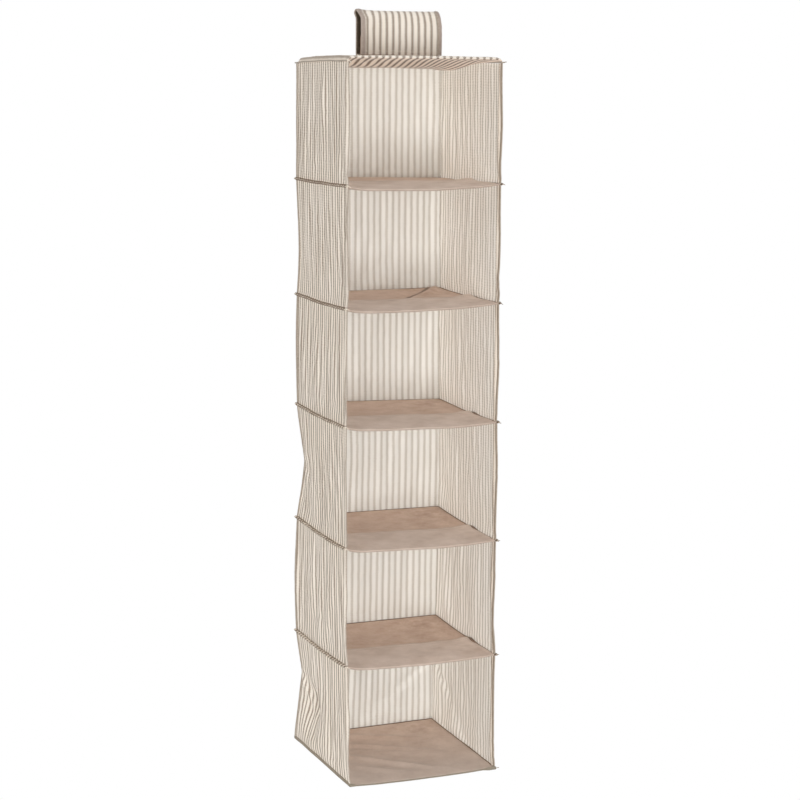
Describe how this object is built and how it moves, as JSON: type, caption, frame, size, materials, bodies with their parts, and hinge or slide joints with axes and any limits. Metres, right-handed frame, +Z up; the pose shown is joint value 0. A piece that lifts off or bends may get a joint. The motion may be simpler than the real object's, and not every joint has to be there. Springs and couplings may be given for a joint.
{
  "type": "hanging shoe organizer",
  "caption": "Soft open-fronted tower of fabric compartments that hangs from a wardrobe rail by a wide strap and folds flat.",
  "frame": {"origin": "on the axis of the wardrobe rail that the strap hangs on, midway along the strap's width", "axes": "+Z up, +X along the rail to the right seen from the open front, -Y out of the open front"},
  "size_m": [0.302, 0.3085, 1.3971],
  "materials": {
    "striped_fabric": "matte non-woven fabric, cream with printed grey-taupe stripes",
    "taupe_fabric": "taupe fabric with a slight satin sheen",
    "binding_tape": "woven taupe edge tape",
    "stiffener_board": "plain grey-brown board, hidden in the sleeves",
    "hook_and_loop": "hook-and-loop tape"
  },
  "bodies": {
    "frame": {"roof_cover": "striped_fabric", "roof_board": "stiffener_board", "roof_seam": "striped_fabric", "strap_face": "striped_fabric", "strap_lining": "taupe_fabric", "strap_binding_left": "binding_tape", "strap_binding_right": "binding_tape", "strap_tab": "taupe_fabric", "loop_strip": "hook_and_loop", "left_wall_1": "striped_fabric", "back_wall_1": "striped_fabric", "right_wall_1": "striped_fabric", "corner_bindings_1": "binding_tape"},
    "strap_flap": {"flap_face": "striped_fabric", "flap_lining": "taupe_fabric", "flap_binding_left": "binding_tape", "flap_binding_right": "binding_tape", "hook_strip": "hook_and_loop"},
    "shelf_1": {"shelf_cover_1": "taupe_fabric", "shelf_board_1": "stiffener_board", "shelf_seam_1": "striped_fabric", "left_wall_2": "striped_fabric", "back_wall_2": "striped_fabric", "right_wall_2": "striped_fabric", "corner_bindings_2": "binding_tape"},
    "shelf_2": {"shelf_cover_2": "taupe_fabric", "shelf_board_2": "stiffener_board", "shelf_seam_2": "striped_fabric", "left_wall_3": "striped_fabric", "back_wall_3": "striped_fabric", "right_wall_3": "striped_fabric", "corner_bindings_3": "binding_tape"},
    "shelf_3": {"shelf_cover_3": "taupe_fabric", "shelf_board_3": "stiffener_board", "shelf_seam_3": "striped_fabric", "left_wall_4": "striped_fabric", "back_wall_4": "striped_fabric", "right_wall_4": "striped_fabric", "corner_bindings_4": "binding_tape"},
    "shelf_4": {"shelf_cover_4": "taupe_fabric", "shelf_board_4": "stiffener_board", "shelf_seam_4": "striped_fabric", "left_wall_5": "striped_fabric", "back_wall_5": "striped_fabric", "right_wall_5": "striped_fabric", "corner_bindings_5": "binding_tape"},
    "shelf_5": {"shelf_cover_5": "taupe_fabric", "shelf_board_5": "stiffener_board", "shelf_seam_5": "striped_fabric", "left_wall_6": "striped_fabric", "back_wall_6": "striped_fabric", "right_wall_6": "striped_fabric", "corner_bindings_6": "binding_tape"},
    "base": {"base_cover": "taupe_fabric", "base_board": "stiffener_board", "base_binding": "binding_tape"}
  },
  "joints": [
    {"name": "strap_flap_opens", "type": "hinge", "parent": "frame", "child": "strap_flap", "pos_m": [0, -0.01174, 0.01174], "axis": [-1, 0, 0], "range_deg": [0, 120]},
    {"name": "compartment_1_folds", "type": "slide", "parent": "frame", "child": "shelf_1", "axis": [0, 0, 1], "range_m": [0, 0.195], "deforming": ["left_wall_1", "back_wall_1", "right_wall_1", "corner_bindings_1"]},
    {"name": "compartment_2_folds", "type": "slide", "parent": "shelf_1", "child": "shelf_2", "axis": [0, 0, 1], "range_m": [0, 0.195], "deforming": ["left_wall_2", "back_wall_2", "right_wall_2", "corner_bindings_2"]},
    {"name": "compartment_3_folds", "type": "slide", "parent": "shelf_2", "child": "shelf_3", "axis": [0, 0, 1], "range_m": [0, 0.195], "deforming": ["left_wall_3", "back_wall_3", "right_wall_3", "corner_bindings_3"]},
    {"name": "compartment_4_folds", "type": "slide", "parent": "shelf_3", "child": "shelf_4", "axis": [0, 0, 1], "range_m": [0, 0.195], "deforming": ["left_wall_4", "back_wall_4", "right_wall_4", "corner_bindings_4"]},
    {"name": "compartment_5_folds", "type": "slide", "parent": "shelf_4", "child": "shelf_5", "axis": [0, 0, 1], "range_m": [0, 0.195], "deforming": ["left_wall_5", "back_wall_5", "right_wall_5", "corner_bindings_5"]},
    {"name": "compartment_6_folds", "type": "slide", "parent": "shelf_5", "child": "base", "axis": [0, 0, 1], "range_m": [0, 0.195], "deforming": ["left_wall_6", "back_wall_6", "right_wall_6", "corner_bindings_6"]}
  ]
}
